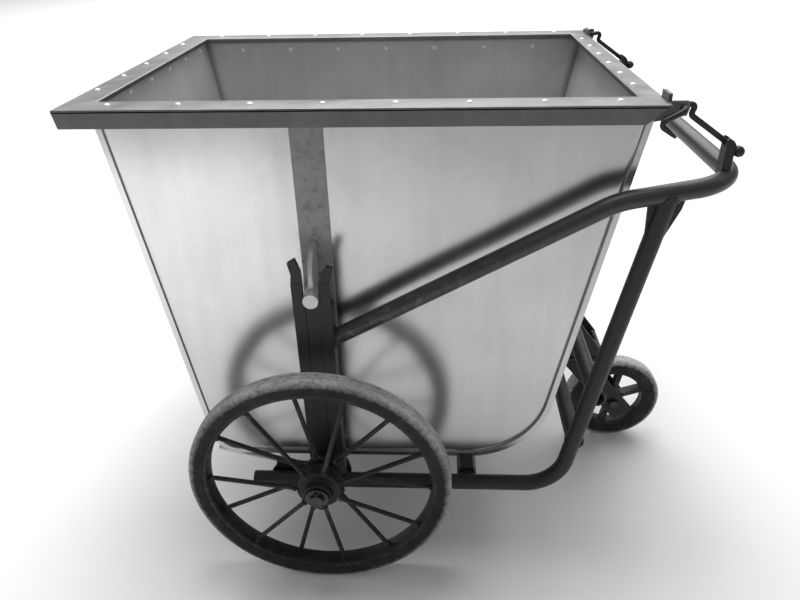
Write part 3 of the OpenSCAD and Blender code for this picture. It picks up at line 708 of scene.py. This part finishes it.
def cotter(side, sign):
    """A split pin through the axle's end: an eye on top and two bent legs below."""
    low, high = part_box(f"stub_axle_{side}")
    y = (low.y if sign < 0 else high.y) - sign * 4 * MM
    x, z = wheel_centre.x, wheel_centre.z
    reach, eye_r = 15 * MM, 5.0 * MM
    eye = [Vector((x + eye_r * math.sin(a), y, z + reach + 4.4 * MM - eye_r * math.cos(a)))
           for a in (TAU * i / 20 for i in range(1, 20))]
    legs = [[Vector((x, y, z - reach)), Vector((x + s * 3 * MM, y, z - reach - 5 * MM)),
             Vector((x + s * 10 * MM, y, z - reach - 6 * MM))] for s in (-1, 1)]
    shape = Shape()
    ends = [Vector((x + s * 1.0 * MM, y, z + reach)) for s in (-1, 1)]
    sweep(shape, [ends[0], *eye, ends[1]], 1.3 * MM, 10)
    sweep(shape, [Vector((x, y, z + reach)), Vector((x, y, z - reach))], 2.4 * MM, 14)
    for leg in legs:
        sweep(shape, rounded(leg, 4 * MM), 1.5 * MM, 10)
    return shape


pins = Shape()
for side, sign in SIDES:
    made = cotter(side, sign)
    pins.add(made.verts, made.faces)
pins.piece("split_pins", "frame", "plain_steel", STEEL, ["cotter_pins"])

# ---------------------------------------------------------------- latches


ROD_Y = 338 * MM  # the plane of the end that rests in the catch
TONGUE_Y = 366 * MM  # the plane of the end that a finger lifts
LATCH_R = 4.5 * MM


def latch(side, sign):
    """A bent latch rod with a pointed finger tongue at one end and a knob at the other."""
    joint = next(j for j in frame["joints"] if j["name"] == f"latch_{side}_swing")
    px, _, pz = joint["pos_m"]
    rod_y, tab_y = sign * ROD_Y, sign * TONGUE_Y
    knob = Vector((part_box(f"latch_rod_{side}")[1].x - 9 * MM, rod_y, pz - 71.5 * MM))
    points = [(px - 9 * MM, tab_y, pz - 41 * MM), (px - 37 * MM, tab_y, pz - 20 * MM),
              (px, tab_y, pz), (px, rod_y, pz), (px + 23 * MM, rod_y, pz + 3 * MM),
              (px + 17 * MM, rod_y, pz - 14 * MM), knob]
    path = rounded(points, 7 * MM, 8)
    tongue = 18 * MM
    radii = []
    for p in path:
        run = (p - path[0]).length
        radii.append(LATCH_R * min(1.0, 0.45 + 0.55 * run / tongue))
    path.insert(1, path[0].lerp(path[1], 0.3))
    radii.insert(1, radii[0] * 1.5)
    shape = sweep(Shape(), path, radii, 18)
    along = (knob - Vector(points[-2])).normalized()
    profile = [(0.3 * MM, -9 * MM), (5.2 * MM, -8.4 * MM), (7.6 * MM, -5 * MM), (8.8 * MM, 0.0),
               (7.8 * MM, 4.6 * MM), (5.0 * MM, 7.8 * MM), (0.3 * MM, 8.8 * MM)]
    lathe(shape, profile, knob, along, 28, closed=False)
    shape.piece(f"latch_bar_{side}", f"latch_{side}", "frame_paint", FRAME, [f"latch_rod_{side}"])


for side, sign in SIDES:
    latch(side, sign)

# ---------------------------------------------------------------- caster


def caster_tyre():
    half = (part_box("caster_tyre")[1].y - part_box("caster_tyre")[0].y) / 2
    seat = (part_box("caster_rim")[1].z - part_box("caster_rim")[0].z) / 2
    shape = lathe(Shape(), tyre_section(caster_r, half, seat, 10 * MM, ()),
                  caster_centre, (0, 1, 0), 128)
    shape.piece("caster_rubber_tyre", "caster_wheel", "caster_rubber", CASTER_RUBBER,
                ["caster_tyre"])


def nut(shape, centre, axis, across_flats, height, dice):
    """A hexagonal nut or bolt head with chamfered corners."""
    side, up = across(axis)
    axis = Vector(axis).normalized()
    r = across_flats / math.sqrt(3)
    turn = dice.uniform(0, TAU)
    levels = ((0.86, 0.0), (1.0, 0.14), (1.0, 0.86), (0.86, 1.0))
    verts = []
    for scale, t in levels:
        for i in range(6):
            a = turn + TAU * i / 6
            verts.append(Vector(centre) + (side * math.cos(a) + up * math.sin(a)) * r * scale
                         + axis * height * t)
    faces = [list(range(6)), list(range(18, 24))]
    for level in range(3):
        for i in range(6):
            n = (i + 1) % 6
            faces.append((6 * level + i, 6 * level + n, 6 * level + 6 + n, 6 * level + 6 + i))
    shape.add(verts, faces)


def threaded(shape, start, axis, radius, length):
    """The end of a bolt, with its thread as rings."""
    pitch = 1.5 * MM
    profile = [(radius * 0.6, 0.0), (radius * 0.9, 0.0)]
    for i in range(int(length / pitch)):
        profile += [(radius * 0.98, pitch * (i + 0.3)), (radius * 0.86, pitch * (i + 0.8))]
    profile += [(radius * 0.8, length), (radius * 0.3, length)]
    lathe(shape, profile, start, axis, 24, closed=False)


def washer(shape, centre, axis, hole, radius, thickness, segments):
    profile = [(hole, 0), (radius, 0), (radius, thickness), (hole, thickness)]
    lathe(shape, profile, centre, axis, segments)


def caster_fasteners():
    """Four bolts through the top plate, and the bolt that the wheel turns on."""
    dice = random.Random(3)
    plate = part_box("caster_top_plate")
    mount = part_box("caster_mount_plate")
    inset = 12 * MM
    xs = [plate[0].x + inset, plate[1].x - inset]
    ys = [plate[0].y + inset, plate[1].y - inset]
    shape = Shape()
    for x in xs:
        for y in ys:
            nut(shape, (x, y, plate[0].z - 6 * MM), (0, 0, 1), 16 * MM, 6 * MM, dice)
            washer(shape, (x, y, mount[1].z), (0, 0, 1), 5.6 * MM, 10 * MM, 1.2 * MM, 28)
            nut(shape, (x, y, mount[1].z + 1.2 * MM), (0, 0, 1), 16 * MM, 7 * MM, dice)
            threaded(shape, (x, y, mount[1].z + 6 * MM), (0, 0, 1), 5 * MM, 9 * MM)
    soften(shape.piece("caster_plate_bolts", "frame", "plain_steel", STEEL, ["caster_mount_bolts"]),
           0.3 * MM, 1, 40)

    bolt_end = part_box("caster_axle_bolt")[1].y
    fork_low, fork_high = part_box("caster_fork")
    shape = Shape()
    c = caster_centre
    nut(shape, (c.x, fork_low.y, c.z), (0, -1, 0), 21 * MM, 8 * MM, dice)
    washer(shape, (c.x, fork_high.y, c.z), (0, 1, 0), 7.2 * MM, 13 * MM, 1.6 * MM, 32)
    nut(shape, (c.x, fork_high.y + 1.6 * MM, c.z), (0, 1, 0), 21 * MM, 8.6 * MM, dice)
    sweep(shape, [(c.x, fork_low.y - 2 * MM, c.z), (c.x, fork_high.y + 4 * MM, c.z)], 7 * MM, 24)
    threaded(shape, (c.x, fork_high.y + 3 * MM, c.z), (0, 1, 0), 7 * MM,
             bolt_end - fork_high.y - 3.2 * MM)
    soften(shape.piece("caster_through_bolt", "caster_swivel", "plain_steel", STEEL,
                       ["caster_axle_bolt"]), 0.3 * MM, 1, 40)


def swivel_race():
    """The pressed upper cup under the top plate, with the ball track's lip showing."""
    low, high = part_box("caster_swivel_race")
    c = centre_of("caster_kingpin")
    r = (high.x - low.x) / 2
    h = high.z - low.z
    bore = 8.2 * MM
    profile = [(bore, 0), (24 * MM, 0), (27 * MM, 0.6 * MM), (29 * MM, 2.2 * MM),
               (30 * MM, 4.6 * MM), (r - 1.4 * MM, 5.2 * MM), (r - 0.3 * MM, 6.4 * MM),
               (r, 8.0 * MM), (r, h), (bore, h)]
    shape = lathe(Shape(), profile, (c.x, c.y, low.z), (0, 0, 1), 64)
    soften(shape.piece("caster_race_cup", "frame", "plain_steel", STEEL, ["caster_swivel_race"]),
           0.4 * MM)


caster_tyre()
caster_fasteners()
swivel_race()

# ---------------------------------------------------------------- welds

HANDLE_SLOPE = math.radians(10.2)  # of the handle tube between its bend and the grip
LEG_LEAN = math.radians(79.35)  # of the leg tubes, from level
LEG_FOOT = 466.5 * MM  # from the axle to where the leg's line meets the rail's
BRACE_SLOPE = math.radians(29)  # of the handle tube where it meets the post
BEAD = 3 * MM
WIDE_BEAD = 3.2 * MM
FINE_BEAD = 2.4 * MM
TUBE_Y = (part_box("leg_tube_right")[0].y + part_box("leg_tube_right")[1].y) / 2


def crossing(p, d, q, e, count=40):
    """Where a frame tube along d from p meets the outside of another through q along e."""
    d, e = Vector(d).normalized(), Vector(e).normalized()
    side, up = across(d)
    path = []
    for i in range(count):
        a = TAU * i / count
        start = Vector(p) + (side * math.cos(a) + up * math.sin(a)) * TUBE_R
        w = start - Vector(q)
        dp = d - e * d.dot(e)
        wp = w - e * w.dot(e)
        b = wp.dot(dp)
        under = b * b - dp.dot(dp) * (wp.dot(wp) - TUBE_R * TUBE_R)
        s = (-b - math.sqrt(max(under, 0.0))) / dp.dot(dp)
        path.append(start + d * s)
    return path


def frame_welds():
    """Beads where the frame's tubes and plates meet."""
    dice = random.Random(21)
    shape = Shape()
    bar = next(m for m in frame["record"]["mounts"] if m["name"] == "handle_bar")
    bar_x, _, bar_z = bar["pos_m"]
    flat = Vector((math.cos(HANDLE_SLOPE), 0, math.sin(HANDLE_SLOPE)))
    rail_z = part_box("leg_tube_left")[0].z + TUBE_R
    leg_dir = Vector((math.cos(LEG_LEAN), 0, math.sin(LEG_LEAN)))
    foot = Vector((wheel_centre.x + LEG_FOOT, 0, rail_z))
    for _, sign in SIDES:
        y = Vector((0, sign * TUBE_Y, 0))
        on_bar = Vector((bar_x, 0, bar_z)) + y
        base = foot + y
        bead(shape, crossing(base, leg_dir, on_bar, flat), WIDE_BEAD, dice, True)
        for name, along in (("cross_tube_low", leg_dir), ("cross_tube_high", leg_dir),
                            ("cross_tube_middle", (1, 0, 0))):
            path = crossing(centre_of(name), (0, sign, 0), base, along)
            bead(shape, path, BEAD, dice, True)
        c = centre_of("cross_tube_front")
        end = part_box("rail_plates")[1].y - 2 * PLATE_T
        ring = [Vector((c.x + TUBE_R * math.cos(a), sign * end, c.z + TUBE_R * math.sin(a)))
                for a in (TAU * i / 40 for i in range(40))]
        bead(shape, ring, BEAD, dice, True)
        handle_foot(shape, sign, dice)
        post_foot(shape, sign, dice)
    shape.piece("frame_weld_beads", "frame", "frame_paint", FRAME)


def handle_foot(shape, sign, dice):
    """The weld where the handle tube meets the back of the post."""
    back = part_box("post_left")[1].x
    y = sign * TUBE_Y
    side = Vector((0, 1, 0))
    rise = TUBE_R / math.cos(BRACE_SLOPE)
    mid = Vector((back, y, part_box("handle_tube")[0].z + rise))
    path = [mid + side * TUBE_R * math.cos(a) + Vector((0, 0, rise * math.sin(a)))
            for a in (TAU * i / 44 for i in range(44))]
    bead(shape, path, WIDE_BEAD, dice, True)


def post_foot(shape, sign, dice):
    """Welds where the post stands on the lower rail: across it front and back, and outside."""
    low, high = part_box("post_left")
    out_y = sign * max(abs(low.y), abs(high.y))
    z = low.z + 1 * MM
    tube_y = sign * TUBE_Y
    for x in (low.x, high.x):
        bead(shape, line((x, out_y - sign * 3 * MM, z - 1 * MM), (x, tube_y - sign * 8 * MM, z)),
             BEAD, dice)
    bead(shape, line((low.x, out_y, z), (high.x, out_y, z)), BEAD, dice)


def hopper_welds():
    """Welds of the trunnion pins and their gussets on the side strips."""
    dice = random.Random(33)
    shape = Shape()
    for side, sign in SIDES:
        pin = centre_of(f"trunnion_pin_{side}")
        low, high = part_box(f"trunnion_pin_{side}")
        root = (high.y if sign < 0 else low.y) + sign * 0.5 * MM
        r = (high.z - low.z) / 2
        ring_r = r + 1.2 * MM
        ring = [Vector((pin.x + ring_r * math.cos(a), root, pin.z + ring_r * math.sin(a)))
                for a in (TAU * i / 36 for i in range(36))]
        bead(shape, ring, BEAD, dice, True)
        fin_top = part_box("trunnion_gussets")[1].z - 2 * MM
        x0 = pin.x - 4 * MM
        for x in (x0, x0 + 8 * MM):
            bead(shape, line((x, root, pin.z + r), (x, root, fin_top)), FINE_BEAD, dice)
    shape.piece("hopper_weld_beads", "hopper", "galvanised_steel", WELD)


frame_welds()
hopper_welds()

# ---------------------------------------------------------------- stage, light and camera


def floor():
    """A plain pale floor."""
    size = 30.0
    corners = [(-size, -size, 0), (size, -size, 0), (size, size, 0), (-size, size, 0)]
    mesh = bpy.data.meshes.new("floor")
    mesh.from_pydata(corners, [], [(0, 1, 2, 3)])
    obj = bpy.data.objects.new("floor", mesh)
    bpy.context.scene.collection.objects.link(obj)
    p = Paint("floor_paint")
    tone = p.mix(p.noise(0.6, 3.0), grey(0.86), grey(0.9))
    obj.data.materials.append(p.done(tone))
    p.shader.inputs["Roughness"].default_value = 0.9


def light(name, kind, place, aim, size, power):
    data = bpy.data.lights.new(name, kind)
    data.energy = power
    if kind == "AREA":
        data.shape = "DISK"
        data.size = size
    else:
        data.shadow_soft_size = size
    obj = bpy.data.objects.new(name, data)
    bpy.context.scene.collection.objects.link(obj)
    obj.location = place
    obj.rotation_mode = "QUATERNION"
    obj.rotation_quaternion = (Vector(aim) - Vector(place)).to_track_quat("-Z", "Y")
    return data


def studio():
    """An even pale sky, softboxes above and behind, and a soft pool of light in front."""
    world = bpy.data.worlds.new("studio")
    bpy.context.scene.world = world
    world.use_nodes = True
    background = world.node_tree.nodes["Background"]
    background.inputs["Color"].default_value = (1.0, 1.0, 1.0, 1)
    background.inputs["Strength"].default_value = 0.33
    light("softbox_back", "AREA", (0.0, 7.8, 6.0), (0.0, 6.8, 0.0), 14.0, 1080)
    light("softbox_top", "AREA", (-0.3, 0.2, 3.6), (-0.1, 0.1, 0.0), 1.4, 60)
    pool = light("spot", "SPOT", (-2.1, -3.2, 3.4), (-1.6, -2.2, 0.0), 0.35, 640)
    pool.spot_size = math.radians(48)
    pool.spot_blend = 1.0
    bpy.context.scene.view_settings.view_transform = "Standard"


CAMERA_PLACE = (0.015, -1.3799, 1.1919)


def camera():
    """The photograph's viewpoint, with the focal length for a 36 mm sensor."""
    yaw, pitch, roll = math.radians(3.28), math.radians(30.08), math.radians(-1.35)
    ahead = Vector((-math.sin(yaw) * math.cos(pitch), math.cos(yaw) * math.cos(pitch),
                    -math.sin(pitch)))
    right = Vector((math.cos(yaw), math.sin(yaw), 0))
    up = right.cross(ahead)
    turned_right = right * math.cos(roll) + up * math.sin(roll)
    turned_up = up * math.cos(roll) - right * math.sin(roll)
    data = bpy.data.cameras.new("camera")
    data.sensor_width = 36.0
    data.lens = 30.25
    obj = bpy.data.objects.new("camera", data)
    bpy.context.scene.collection.objects.link(obj)
    turn = Matrix((turned_right, turned_up, -ahead)).transposed()
    obj.matrix_world = Matrix.Translation(CAMERA_PLACE) @ turn.to_4x4()
    bpy.context.scene.camera = obj


floor()
studio()
camera()
